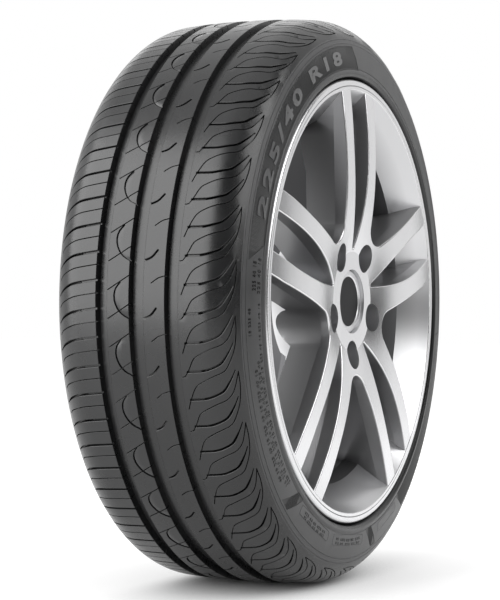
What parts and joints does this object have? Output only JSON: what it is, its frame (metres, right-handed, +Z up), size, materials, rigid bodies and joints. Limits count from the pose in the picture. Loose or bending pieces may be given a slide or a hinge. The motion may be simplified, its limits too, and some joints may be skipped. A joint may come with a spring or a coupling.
{
  "type": "car tyre on alloy wheel",
  "caption": "Low-profile road tyre with a grooved asymmetric tread, fitted on a cast alloy wheel with paired spokes, a blank centre cap and a snap-in valve.",
  "frame": {"origin": "on the axle, midway between the two rim flanges", "axes": "+Y along the axle, from the outer face towards the car; +Z up"},
  "size_m": [0.637, 0.2294, 0.637],
  "materials": {
    "tyre_rubber": "matte",
    "silver_alloy": "satin",
    "silver_plastic": "satin",
    "dark_plastic": "gloss",
    "spring_steel": "satin",
    "valve_rubber": "matte",
    "brass": "satin",
    "black_plastic": "matte"
  },
  "bodies": {
    "root": {"tyre": "tyre_rubber", "alloy_wheel": "silver_alloy", "centre_cap": "silver_plastic", "cap_disc": "dark_plastic", "cap_spring_ring": "spring_steel", "valve_rubber": "valve_rubber", "valve_stem": "brass", "valve_core": "brass", "valve_cap": "black_plastic"}
  },
  "joints": []
}
